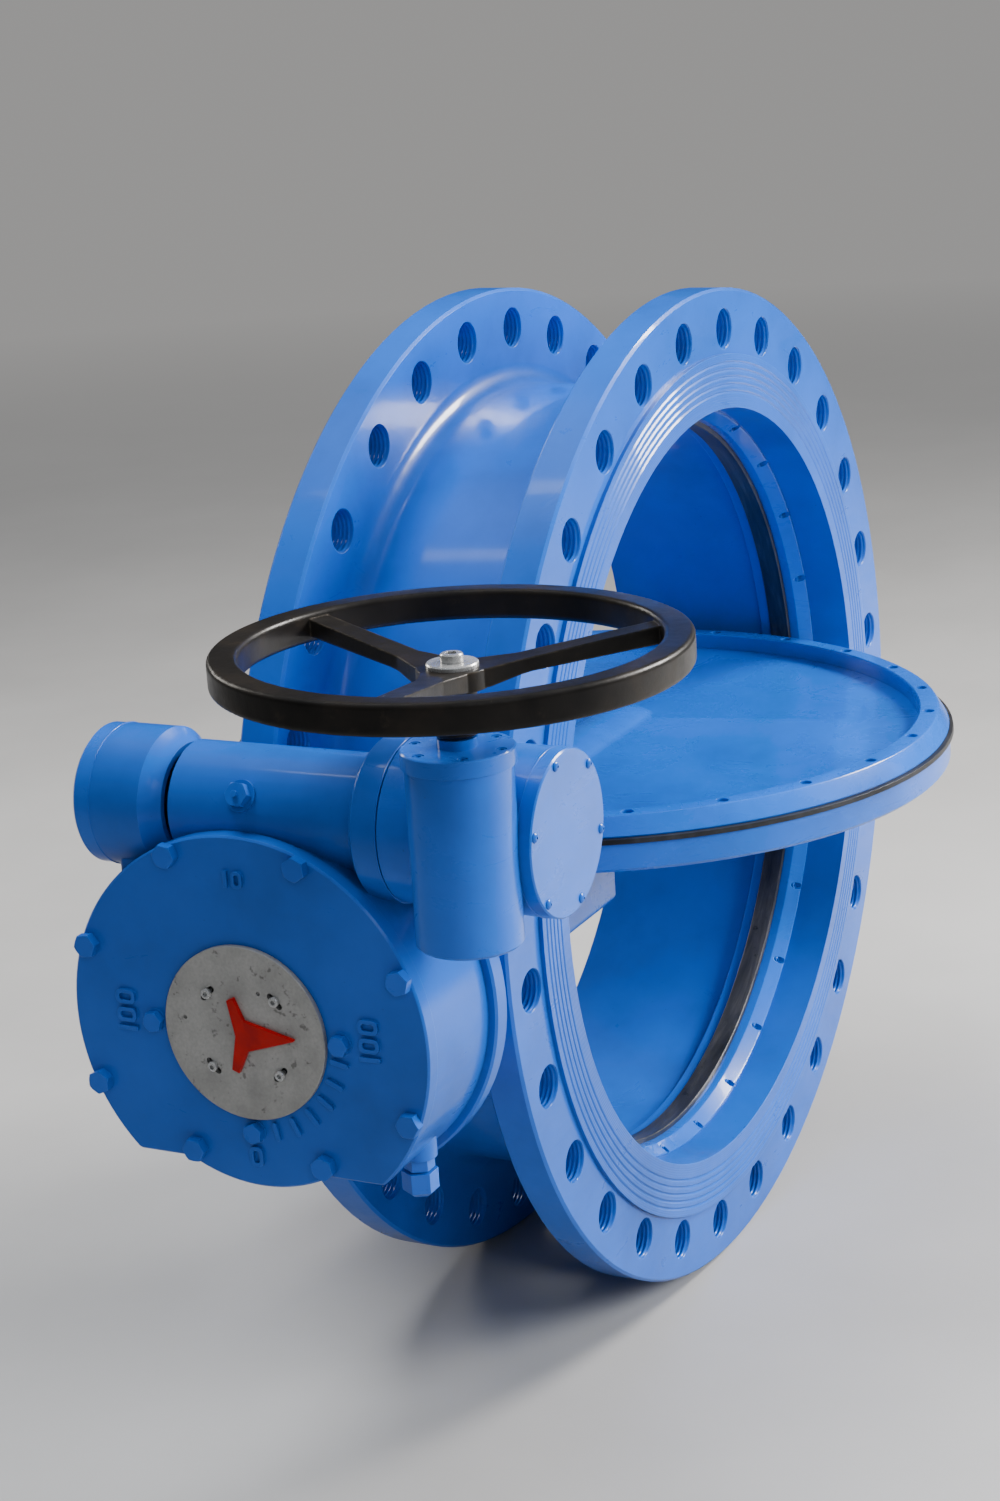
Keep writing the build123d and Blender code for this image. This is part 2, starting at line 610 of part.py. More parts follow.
with BuildPart() as gearbox_cover:
    with BuildSketch(at_nx(X_COVER_BACK)) as cover_face:
        gear_outline(0)
        fillet([v for v in cover_face.vertices()], 9)
    extrude(amount=X_COVER_BACK - X_COVER)
    chamfer(gearbox_cover.faces().sort_by(Axis.X)[0].edges(), 2.0)
    # low round pads under the plugs
    rods_at(at_nx(X_COVER), COVER_PLUGS, 12, PLUG_PAD_H)
    # raised tick bars
    with BuildSketch(at_nx(X_COVER)):
        with Locations(*polar_spots(104.5, (-76, -63, -50, -37, -24, -11))):
            SlotOverall(20, 5)
    extrude(amount=MARK_H)
    # raised numerals: 100 on its side at both sides, 0 at the bottom, 10 at the top
    with BuildSketch(at_nx(X_COVER)):
        for side in (1, -1):
            with Locations(Location((side * 137, 4, 0), (0, 0, 90))):
                with Locations((-15, 0)):
                    Rectangle(4.5, 22)
                for digit_x in (-1, 18):
                    with Locations((digit_x, 0)):
                        zero(15, 22, 6, 7, 14, 3)
        with Locations((0, -131)):
            zero(15, 21, 6, 7, 13, 3)
        with Locations((-8, 157)):
            Rectangle(4, 17)
        with Locations((5, 157)):
            zero(12, 17, 5, 5.5, 10.5, 2.4)
    extrude(amount=MARK_H)
    # stepped bore for the wheel bush, its seal and the journal
    bore(at_nx(X_COVER_BACK), WHEEL_BUSH_R, 12)
    bore(at_nx(-837), 66, 5.1)
    bore(at_nx(-842), 62.6, 4)
    drill_at(at_nx(X_COVER_BACK), COVER_BOLTS, COVER_HOLE_R, 20)
    drill_at(at_nx(X_COVER - 1), COVER_PLUGS, 6, -13)
save(gearbox_cover, "gearbox_cover")


def turned_places(plane, points, step):
    """World locations of points on a plane, each turned by one more step of degrees."""
    return [plane.location * Location((x, y, 0), (0, 0, step * i))
            for i, (x, y) in enumerate(points)]


save_screws("cover_bolts", turned_places(at_nx(X_COVER), COVER_BOLTS, 17),
            hex_bolt, flats=22, head=10, shank_r=5.97, shank=46)
save_screws("cover_plugs", turned_places(at_nx(X_COVER - PLUG_PAD_H), COVER_PLUGS, 11),
            hex_bolt, flats=19, head=8, shank_r=5.97, shank=12)


# ================================================================ worm gearing
def space_points(module, teeth, thin):
    """Half outline of a tooth space: (half width, radius) from the root out."""
    pitch_r = module * teeth / 2
    base_r = pitch_r * math.cos(PRESSURE_ANGLE)
    root_r, tip_r = pitch_r - 1.25 * module, pitch_r + module + 1.5
    rows = []
    for i in range(7):
        radius = root_r + (tip_r - root_r) * i / 6
        roll = math.acos(min(1.0, base_r / radius))
        tooth = (math.pi / (2 * teeth) - thin / pitch_r
                 + (math.tan(PRESSURE_ANGLE) - PRESSURE_ANGLE) - (math.tan(roll) - roll))
        gap = math.pi / teeth - tooth
        rows.append((radius * math.sin(gap), radius * math.cos(gap)))
    return rows


def space_cutter(module, teeth, thin, width, tilt):
    """Tooth space cutter on +Z above the wheel centre, running along X with a lead tilt."""
    rows = space_points(module, teeth, thin)
    outline = [(-half, radius) for half, radius in reversed(rows)] + rows
    normal = (math.cos(tilt), -math.sin(tilt), 0)
    along = (math.sin(tilt), math.cos(tilt), 0)
    with BuildPart() as cutter:
        slab(Plane(origin=(0, 0, 0), x_dir=along, z_dir=normal), outline, width / 2, both=True)
    return cutter.part


def worm_thread(module, pitch_r, lead, turns):
    """One thread start about Z, centred on the origin."""
    start_z = -turns / 2 * lead
    low, high = -1.2 * module - 0.6, module
    wide = math.pi * module / 4 - low * math.tan(PRESSURE_ANGLE)
    narrow = math.pi * module / 4 - high * math.tan(PRESSURE_ANGLE)
    with BuildPart() as thread:
        with BuildLine():
            Helix(lead, turns * lead, pitch_r, center=(0, 0, start_z))
        with BuildSketch(Plane(origin=(pitch_r, 0, start_z), x_dir=(1, 0, 0), z_dir=(0, -1, 0))):
            with BuildLine():
                Polyline((low, -wide), (low, wide), (high, narrow), (high, -narrow), (low, -wide))
            make_face()
        sweep(is_frenet=True)
    return thread.part


def outside_sector(first, last, far=400):
    """Polygon covering everything outside the sector from last up to first degrees."""
    return [(0, 0), polar(far, first), (-far, far), (-far, -far), (far, -far), polar(far, last),
            (0, 0)]


# ---------------------------------------------------------------- main worm wheel
WHEEL_T = 50
JOURNAL_END = -843.3

with BuildPart() as worm_wheel:
    with BuildSketch(at_x(X_WORM - WHEEL_T / 2)):
        Circle(WHEEL_PITCH_R_1 + MODULE_1)
        with BuildLine():
            Polyline(*outside_sector(104, -14))
        make_face(mode=Mode.SUBTRACT)
        Circle(84)
    extrude(amount=WHEEL_T)
    # web lightened from both sides
    with BuildSketch(at_x(X_WORM - 26)) as recess:
        Circle(146)
        Circle(92, mode=Mode.SUBTRACT)
        with BuildLine():
            Polyline(*outside_sector(97, -7))
        make_face(mode=Mode.SUBTRACT)
    extrude(amount=13, mode=Mode.SUBTRACT)
    far_recess = [face.moved(Location((52, 0, 0))) for face in recess.sketch.faces()]
    extrude(to_extrude=far_recess, amount=-13, mode=Mode.SUBTRACT)
    # hub and journals
    rod(at_x(-822), 80, 100)
    rod(at_x(JOURNAL_END), JOURNAL_R, -694 - JOURNAL_END)
    inner_end = worm_wheel.faces().sort_by(Axis.X)[-1]
    chamfer(inner_end.edges().sort_by(SortBy.LENGTH)[-1], 1.5)
    # shaft bore, small hole through the end wall, keyway, dial screw holes
    bore(at_x(-838.2), SHAFT_R + 0.03, 200)
    bore(at_x(-843.4), 14, 20)
    with BuildSketch(Plane.XY.offset(Z_SHAFT - SHAFT_R + 20)):
        with Locations((KEY_X, 0)):
            SlotOverall(KEY_L, KEY_W)
    extrude(amount=-26.2, mode=Mode.SUBTRACT)
    drill_ring(at_nx(JOURNAL_END), DIAL_SCREWS, 3, -16)
    main_cutter = space_cutter(MODULE_1, TEETH_1, thin=0.3, width=60,
                               tilt=math.atan(MODULE_1 / (2 * WORM_R_1)))
    with Locations(*[Location((X_WORM, 0, Z_SHAFT), (360.0 / TEETH_1 * k, 0, 0))
                     for k in range(-18, 4)]):
        add(main_cutter, mode=Mode.SUBTRACT)
save(worm_wheel, "worm_wheel")

with BuildPart() as wheel_bushes:
    tube(at_x(-836.9), WHEEL_BUSH_R - 0.03, JOURNAL_R + 0.05, 10.8)
    tube(at_x(X_CHAMBER), WHEEL_BUSH_R - 0.03, JOURNAL_R + 0.05, 23.9)
save(wheel_bushes, "wheel_bushes")

with BuildPart() as wheel_seal:
    tube(at_x(-841.9), 65.9, JOURNAL_R + 0.05, 4.8)
save(wheel_seal, "wheel_seal")

# ---------------------------------------------------------------- position indicator
DIAL_X = -849           # outer face of the indicator plate
dial_slot_arc = CenterArc((0, 0), 54, -7, 14)

with BuildPart() as indicator_plate:
    rod(at_nx(-843.4), 90, 5.6)
    chamfer(indicator_plate.faces().sort_by(Axis.X)[0].edges(), 0.8)
    with BuildSketch(at_nx(JOURNAL_END)):
        for slot_angle in (45, 135, 225, 315):
            with Locations(Location((0, 0, 0), (0, 0, slot_angle))):
                SlotArc(dial_slot_arc, 6.6)
    extrude(amount=8, mode=Mode.SUBTRACT)
    drill_at(at_nx(DIAL_X), [(20, 44), (-66, 10)], 2.2, -2)
save(indicator_plate, "indicator_plate")

save_screws("indicator_screws", ring_spots(at_nx(DIAL_X), DIAL_SCREWS),
            socket_screw, head_r=5.2, head=4.0, shank_r=2.97, shank=20, key=4.5)

with BuildPart() as indicator_arrow:
    with BuildSketch(at_nx(DIAL_X)) as arrow_face:
        with BuildLine():
            Polyline(
                (61, 1), (5, -17), (-7, -41), (-15, -38), (-8, -2),
                (-15, 34), (-7, 38), (3, 15), (61, 1),
            )
        make_face()
        fillet(arrow_face.vertices(), 1.2)
    extrude(amount=4)
    chamfer(indicator_arrow.faces().sort_by(Axis.X)[0].edges(), 0.6)
save(indicator_arrow, "indicator_arrow")

# ---------------------------------------------------------------- main worm
WORM_CORE_R = WORM_R_1 - 1.2 * MODULE_1
WORM_NECK_R = 22        # carries the second stage wheel
WORM_KEY_Y = -261
WORM_KEY_FLOOR = Plane.XY.offset(Z_WORM - WORM_NECK_R + 5)

with BuildPart() as worm:
    # Y, radius
    lathe(WORM_SECTION, [
        (-305.5, 0), (-305.5, 19), (-304.5, 20), (-285, 20), (-285, WORM_NECK_R),
        (-159.6, WORM_NECK_R), (-159.6, 26), (-96, 26), (-84, WORM_CORE_R), (84, WORM_CORE_R),
        (96, 30), (136, 30), (136, 25), (159, 25), (160, 24), (160, 0),
    ], WORM_AXIS)
    main_thread = worm_thread(MODULE_1, WORM_R_1, lead=math.pi * MODULE_1, turns=6)
    with Locations(Plane(origin=(X_WORM, 0, Z_WORM), x_dir=(0, 0, -1), z_dir=(0, 1, 0))):
        add(main_thread)
    with BuildSketch(WORM_KEY_FLOOR):
        with Locations((X_WORM, WORM_KEY_Y)):
            SlotOverall(30, 8, rotation=90)
    extrude(amount=-10, mode=Mode.SUBTRACT)
save(worm, "worm")

with BuildPart() as worm_key:
    with BuildSketch(WORM_KEY_FLOOR):
        with Locations((X_WORM, WORM_KEY_Y)):
            SlotOverall(29.9, 7.95, rotation=90)
    extrude(amount=-8)
save(worm_key, "worm_key")


def bearing(plane, inner, outer, width, balls):
    """Deep groove ball bearing: two rings and its balls, in the active part."""
    mid, ball = (inner + outer) / 2, (outer - inner) * 0.27
    land = (outer - inner) * 0.26
    with BuildSketch(Plane(origin=(0, 0, 0), x_dir=(1, 0, 0), z_dir=(0, -1, 0))) as section:
        for ring_mid in (inner + land / 2, outer - land / 2):
            with Locations((ring_mid, width / 2)):
                Rectangle(land, width)
        with Locations((mid, width / 2)):
            Circle(ball + 0.05, mode=Mode.SUBTRACT)
    with BuildPart(mode=Mode.PRIVATE) as races:
        revolve(section.sketch, axis=Axis.Z)
        with Locations(*[(*polar(mid, 360 * i / balls), width / 2) for i in range(balls)]):
            Sphere(ball)
    with Locations(plane):
        add(races.part)


with BuildPart() as worm_bearings:
    bearing(at_y(138), inner=25.03, outer=50.4, width=20, balls=10)
    bearing(at_y(-178), inner=22.03, outer=44.95, width=18, balls=10)
    bearing(at_y(-305), inner=20.03, outer=39.95, width=18, balls=9)
save(worm_bearings, "worm_bearings")

with BuildPart() as worm_end_cap:
    rod(at_y(Y_CAP), BARREL_R - 0.5, 20)
    chamfer(worm_end_cap.faces().sort_by(Axis.Y)[-1].edges(), 3)
    rod(at_y(158.2), 50.4, 7)
    bore(at_y(150), 27, 12.5)
    drill_ring(at_y(186), WORM_CAP_SCREWS, 4.4, -30)
    drill_ring(at_y(CAP_SEAT_Y), WORM_CAP_SCREWS, 7.2, 10)
save(worm_end_cap, "worm_end_cap")

save_screws("worm_cap_screws", ring_spots(at_y(CAP_SEAT_Y), WORM_CAP_SCREWS),
            socket_screw, head_r=6.9, head=6.8, shank_r=3.98, shank=28, key=6)

# ---------------------------------------------------------------- grease plug and stop screw
with BuildPart() as grease_plug:
    with Locations(at_plug(PLUG_BOSS_H + 0.1)):
        add(hex_bolt(flats=22, head=9, shank_r=6.97, shank=10))
        Cylinder(3.2, 13, align=(Align.CENTER, Align.CENTER, Align.MIN))
save(grease_plug, "grease_plug")

with BuildPart() as stop_screw:
    with BuildSketch(at_stop(Z_SHAFT - 184)):
        RegularPolygon(16, 6, major_radius=False)
    extrude(amount=25)
    rod(at_stop(Z_SHAFT - 160), 9.96, 160 - 38.5)
    chamfer(stop_screw.faces().sort_by(Axis.Z)[-1].edges(), 1.5)
    chamfer(stop_screw.faces().sort_by(Axis.Z)[0].edges(), 4.5)
save(stop_screw, "stop_screw")

with BuildPart() as stop_lock_nut:
    with BuildSketch(at_stop(STOP_BOSS_Z)):
        RegularPolygon(13.5, 6, major_radius=False)
        Circle(10, mode=Mode.SUBTRACT)
    extrude(amount=-13)
save(stop_lock_nut, "stop_lock_nut")

# ================================================================ second reduction stage
Y_SECOND = -306                 # open front face of the second stage housing
SECOND_COVER_T = 15
JOINT_SEAT_Y = Y_JOINT - 20     # where the joint screw heads bear
INPUT_BOTTOM, INPUT_TOP = 115, 287      # ends of the upright barrel along Z
INPUT_BEARING_R = 37
INPUT_SEAT_Z = 297              # where the input cap screw heads bear
SECOND_COVER_SCREWS = [polar(73.2, a) for a in (46, 106, 166, 226, 286, 346)]

with BuildPart() as second_stage_housing:
    rod(at_ny(Y_JOINT), COLLAR_R, Y_JOINT - Y_SECOND)
    chamfer(second_stage_housing.faces().sort_by(Axis.Y)[-1].edges(), 2)
    rod(at_input(INPUT_BOTTOM), 50, INPUT_TOP - INPUT_BOTTOM)
    chamfer(second_stage_housing.faces().sort_by(Axis.Z)[0].edges(), 3)
    bore(at_ny(Y_SECOND), 80.8, 20)
    bore(at_ny(JOINT_SEAT_Y), 65, 130)
    bore(at_ny(-150), 45, 40)
    bore(at_input(130), INPUT_BEARING_R, 160)
    drill_ring(at_ny(-159), JOINT_SCREWS, 4.4, 30)
    drill_ring(at_input(INPUT_TOP), INPUT_CAP_SCREWS, 3, -18)
    drill_at(at_ny(Y_SECOND), SECOND_COVER_SCREWS, 2.5, -16)
save(second_stage_housing, "second_stage_housing")

save_screws("second_stage_screws", ring_spots(at_ny(JOINT_SEAT_Y), JOINT_SCREWS),
            socket_screw, head_r=6.5, head=8, shank_r=3.97, shank=38, key=6)

with BuildPart() as second_stage_cover:
    rod(at_ny(Y_SECOND), 80.2, SECOND_COVER_T)
    chamfer(second_stage_cover.faces().sort_by(Axis.Y)[0].edges(), 1.5)
    # spigot and bearing boss reaching into the housing
    tube(at_y(Y_SECOND), 64.9, 56, 6)
    rod(at_y(Y_SECOND), 48, 20)
    bore(at_y(-310), 40, 30)
    bore(at_input(100), 38, 250)
    drill_at(at_ny(-305), SECOND_COVER_SCREWS, 2.8, 18)
save(second_stage_cover, "second_stage_cover")

with BuildPart() as button_screw:
    with BuildSketch(Plane.XZ):
        with BuildLine():
            Polyline((0, 0), (4.9, 0), (4.9, 0.8))
            ThreePointArc((4.9, 0.8), (3.1, 2.5), (0, 3.1))
            Line((0, 3.1), (0, 0))
        make_face()
    revolve(axis=Axis.Z)
    with BuildSketch(Plane.XY.offset(3.2)):
        RegularPolygon(1.5, 6)
    extrude(amount=-1.8, mode=Mode.SUBTRACT)
    rod(Plane.XY, 2.47, -28)

with BuildPart() as second_cover_screws:
    with Locations(*turned_places(at_ny(Y_SECOND - SECOND_COVER_T), SECOND_COVER_SCREWS, 0)):
        add(button_screw.part)
save(second_cover_screws, "second_cover_screws")

with BuildPart() as second_stage_wheel:
    # toothed rim recessed on both faces, then the hub
    rod(at_y(Y_INPUT - 9), WHEEL_PITCH_R_2 + MODULE_2, 18)
    bore(at_y(Y_INPUT - 9.1), 48, 4.1)
    bore(at_y(Y_INPUT + 5), 48, 4.1)
    rod(at_y(-284), 36, 46)
    bore(at_y(-290), WORM_NECK_R + 0.03, 60)
    with BuildSketch(Plane.XY.offset(Z_WORM - 15)):
        with Locations((X_WORM, -262)):
            Rectangle(8, 60)
    extrude(amount=-10.2, mode=Mode.SUBTRACT)
    second_cutter = space_cutter(MODULE_2, TEETH_2, thin=0.22, width=30,
                                 tilt=math.atan(MODULE_2 * STARTS_2 / (2 * WORM_R_2)))
    wheel_frame = Plane(
        origin=(X_WORM, Y_INPUT, Z_WORM), x_dir=(0, 1, 0), z_dir=(-1, 0, 0)
    ).location
    with Locations(*[wheel_frame * Location((0, 0, 0), (360.0 / TEETH_2 * k, 0, 0))
                     for k in range(TEETH_2)]):
        add(second_cutter, mode=Mode.SUBTRACT)
save(second_stage_wheel, "second_stage_wheel")

# ---------------------------------------------------------------- input shaft
INPUT_CORE_R = WORM_R_2 - 1.2 * MODULE_2
INPUT_END_R, INPUT_END_Z = 12.5, 376    # handwheel seat and shaft top
INPUT_KEY_PLANE = Plane(
    origin=(X_INPUT, Y_INPUT - INPUT_END_R + 4, 345), x_dir=(1, 0, 0), z_dir=(0, -1, 0)
)

with BuildPart() as input_shaft:
    # radius, Z
    lathe(INPUT_SECTION, [
        (0, 131.5), (16.5, 131.5), (17.5, 132.5), (17.5, 146), (22, 146), (22, 156),
        (INPUT_CORE_R, 160), (INPUT_CORE_R, 234), (22, 238), (22, 247.5), (17.5, 247.5),
        (17.5, 263), (14, 263), (14, 313), (INPUT_END_R, 314.5), (INPUT_END_R, 375),
        (11.5, INPUT_END_Z), (0, INPUT_END_Z),
    ], INPUT_AXIS)
    input_thread = worm_thread(MODULE_2, WORM_R_2, lead=math.pi * MODULE_2 * STARTS_2, turns=3)
    with Locations(*[Location((X_INPUT, Y_INPUT, Z_WORM), (0, 0, a)) for a in (0, 180)]):
        add(input_thread)
    with BuildSketch(INPUT_KEY_PLANE):
        SlotOverall(36, 8, rotation=90)
    extrude(amount=10, mode=Mode.SUBTRACT)
    with Locations(at_input(INPUT_END_Z)):
        Hole(radius=5, depth=30)
save(input_shaft, "input_shaft")

with BuildPart() as input_bearings:
    for bearing_z in (131, 247.6):
        bearing(at_input(bearing_z), inner=17.53, outer=36.95, width=15, balls=10)
save(input_bearings, "input_bearings")

with BuildPart() as input_cap:
    rod(at_input(INPUT_TOP), 53, 16)
    chamfer(input_cap.faces().sort_by(Axis.Z)[-1].edges(), 1.2)
    rod(at_input(262.7), INPUT_BEARING_R - 0.1, 25)
    rod(at_input(303), 18.5, 9)
    # clearance, shaft bore and seal pocket
    bore(at_input(262), 20, 12)
    bore(at_input(270), 14.15, 50)
    bore(at_input(274), 22, 9)
    drill_ring(at_input(286), INPUT_CAP_SCREWS, 3.3, 20)
    drill_ring(at_input(INPUT_SEAT_Z), INPUT_CAP_SCREWS, 5.3, 10)
save(input_cap, "input_cap")

save_screws("input_cap_screws", ring_spots(at_input(INPUT_SEAT_Z), INPUT_CAP_SCREWS),
            socket_screw, head_r=5.0, head=5.4, shank_r=2.97, shank=24, key=5)

with BuildPart() as input_seal:
    tube(at_input(274.2), 21.9, 14.05, 8.6)
save(input_seal, "input_seal")

# ---------------------------------------------------------------- handwheel
RIM_OUTER_R, RIM_W, RIM_H = 217.5, 28, 29
HUB_TOP = 377
# spoke side view: radius, Z; and half plan view: radius, half width
SPOKE_SIDE = (
    (10, 360), (30, 360), (70, 368), (198, 380), (198, 396),
    (190, 396), (64, 380), (28, HUB_TOP), (10, HUB_TOP),
)
SPOKE_PLAN = ((8, 26), (26, 22), (60, 13), (192, 11), (199, 16))

with BuildPart() as handwheel:
    with BuildSketch(INPUT_SECTION):
        with Locations((RIM_OUTER_R - RIM_W / 2, 387.5)):
            RectangleRounded(RIM_W, RIM_H, 5)
    revolve(axis=INPUT_AXIS)
    rod(at_input(315), 21, 50)
    rod(at_input(359), 33, HUB_TOP - 359)
    chamfer(handwheel.faces().sort_by(Axis.Z)[0].edges(), 1)
    with BuildPart(mode=Mode.PRIVATE) as spoke:
        slab(Plane.XZ, SPOKE_SIDE, 40, both=True)
        plan = [(x, -y) for x, y in SPOKE_PLAN] + list(reversed(SPOKE_PLAN))
        slab(Plane.XY.offset(350), plan, 60, mode=Mode.INTERSECT)
    with Locations(*[Location((X_INPUT, Y_INPUT, 0), (0, 0, a)) for a in (68, 188, 308)]):
        add(spoke.part)
    bore(at_input(300), INPUT_END_R + 0.05, 90)
    with BuildSketch(INPUT_KEY_PLANE):
        Rectangle(8, 80)
    extrude(amount=7.3, mode=Mode.SUBTRACT)
save(handwheel, "handwheel")

with BuildPart() as handwheel_key:
    with BuildSketch(INPUT_KEY_PLANE):
        SlotOverall(35.9, 7.95, rotation=90)
    extrude(amount=7)
save(handwheel_key, "handwheel_key")

WASHER_T = 4.5
with BuildPart() as handwheel_washer:
    tube(at_input(HUB_TOP), 24, 5.6, WASHER_T)
    washer_top = handwheel_washer.faces().sort_by(Axis.Z)[-1]
    chamfer(washer_top.edges().sort_by(SortBy.LENGTH)[-1], 1.2)
save(handwheel_washer, "handwheel_washer")

save_screws("handwheel_bolt", [at_input(HUB_TOP + WASHER_T).location],
            socket_screw, head_r=10.5, head=8, shank_r=4.95, shank=26, key=10)
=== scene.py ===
"""Disc valve with a gearbox and handwheel: looks, studio and camera for its CAD pieces.

Metres, +Z up. The bore and the flange holes run along Y, so the hole circle lies in the
XZ plane, centred on the origin. The camera looks from the -X, -Y side, slightly from above.
"""
import json
import math

import bpy
from mathutils import Matrix, Vector


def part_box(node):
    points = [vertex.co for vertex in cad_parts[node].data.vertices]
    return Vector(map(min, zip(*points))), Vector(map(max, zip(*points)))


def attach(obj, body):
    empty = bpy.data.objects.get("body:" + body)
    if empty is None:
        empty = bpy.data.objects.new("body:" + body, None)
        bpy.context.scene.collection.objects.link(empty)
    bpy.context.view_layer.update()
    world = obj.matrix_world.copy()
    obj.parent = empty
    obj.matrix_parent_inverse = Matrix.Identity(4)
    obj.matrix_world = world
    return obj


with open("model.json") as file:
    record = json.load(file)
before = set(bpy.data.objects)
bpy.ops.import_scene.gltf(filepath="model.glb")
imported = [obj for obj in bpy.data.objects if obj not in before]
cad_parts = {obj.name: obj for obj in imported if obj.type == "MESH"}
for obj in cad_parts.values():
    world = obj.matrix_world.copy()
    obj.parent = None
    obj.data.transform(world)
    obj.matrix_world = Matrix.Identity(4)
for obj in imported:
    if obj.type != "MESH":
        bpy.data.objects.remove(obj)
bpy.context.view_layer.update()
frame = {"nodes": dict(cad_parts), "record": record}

# Flange hole threads
HOLE_COUNT = 28
HOLE_CIRCLE_RADIUS = 0.545
HOLE_STEP = 360 / HOLE_COUNT                # degrees
HOLE_INNER_Y, HOLE_OUTER_Y = 0.1158, 0.1592
HOLE_ENDS = (                               # start y, end y, wall radius
    (-HOLE_OUTER_Y, -HOLE_INNER_Y, 0.02400),
    (HOLE_INNER_Y, HOLE_OUTER_Y, 0.02450),
)
THREAD_PITCH = 0.0052
THREAD_DEPTH = 0.0022
THREAD_SIDES = 32
ROWS_PER_PITCH = 4
RUNOUT_ROWS = 3                             # rows over which a thread fades in and out
LINER_GAP = 0.00005                         # liner stands this far inside the wall
LINER_SINK = 0.0006                         # its back lies this far behind the wall

# Paint beads
BEAD_STEPS, BEAD_SIDES = 144, 10
BEAD_RIPPLE = 0.00035
BEADS = (  # name, piece it is centred on, axis, place along the axis, ring radius, bead radius
    ("paint_bead_end_cap", "worm_end_cap", (0, 1, 0), 0.165, 0.0707, 0.0009),
    ("paint_bead_input_cap", "input_cap", (0, 0, 1), 0.287, 0.0500, 0.0009),
    ("paint_bead_second_cover", "second_stage_cover", (0, 1, 0), -0.306, 0.0801, 0.0007),
    ("paint_bead_joint_collar", "second_stage_cover", (0, 1, 0), -0.160, 0.0800, 0.0008),
)

# Turning marks on the body's flat faces
RING_PITCH = 0.0027
RING_MAX_RADIUS = 0.517
RING_MIN_Y = 0.163

# Studio
FLOOR_Z = -0.5926
FLOOR_SIZE = 60
BACKDROP = (0.33, 0.325, 0.32)


# ------------------------------------------------------------ node helpers
def tint(color, factor, lift=0.0):
    return tuple(c * factor + lift for c in color)


class Nodes:
    """Short ways to add and join shader nodes in one cleared tree."""

    def __init__(self, tree):
        self.tree = tree
        tree.nodes.clear()

    def node(self, kind, **props):
        node = self.tree.nodes.new(kind)
        for key, value in props.items():
            setattr(node, key, value)
        return node

    def link(self, source, socket):
        self.tree.links.new(source, socket)

    def put(self, socket, value):
        """Link a socket, or set a value; RGB colours gain an alpha of 1."""
        if isinstance(value, bpy.types.NodeSocket):
            self.link(value, socket)
        elif isinstance(value, tuple):
            socket.default_value = (*value, 1)
        else:
            socket.default_value = value

    def math(self, operation, first, second=0.0, third=0.0, clamp=False):
        node = self.node("ShaderNodeMath", operation=operation, use_clamp=clamp)
        for socket, value in zip(node.inputs, (first, second, third)):
            self.put(socket, value)
        return node.outputs[0]

    def add(self, first, second, clamp=False):
        return self.math("ADD", first, second, clamp=clamp)

    def times(self, first, second, clamp=False):
        return self.math("MULTIPLY", first, second, clamp=clamp)

    def hypot(self, first, second):
        return self.math("SQRT", self.add(self.times(first, first), self.times(second, second)))

    def split(self, vector):
        node = self.node("ShaderNodeSeparateXYZ")
        self.link(vector, node.inputs[0])
        return node.outputs

    def ramp(self, amount, stops):
        """Colour ramp through stops of (position, RGB)."""
        node = self.node("ShaderNodeValToRGB")
        elements = node.color_ramp.elements
        while len(elements) < len(stops):
            elements.new(0.5)
        for element, (position, color) in zip(elements, stops):
            element.position = position
            element.color = (*color, 1)
        self.link(amount, node.inputs[0])
        return node.outputs[0]


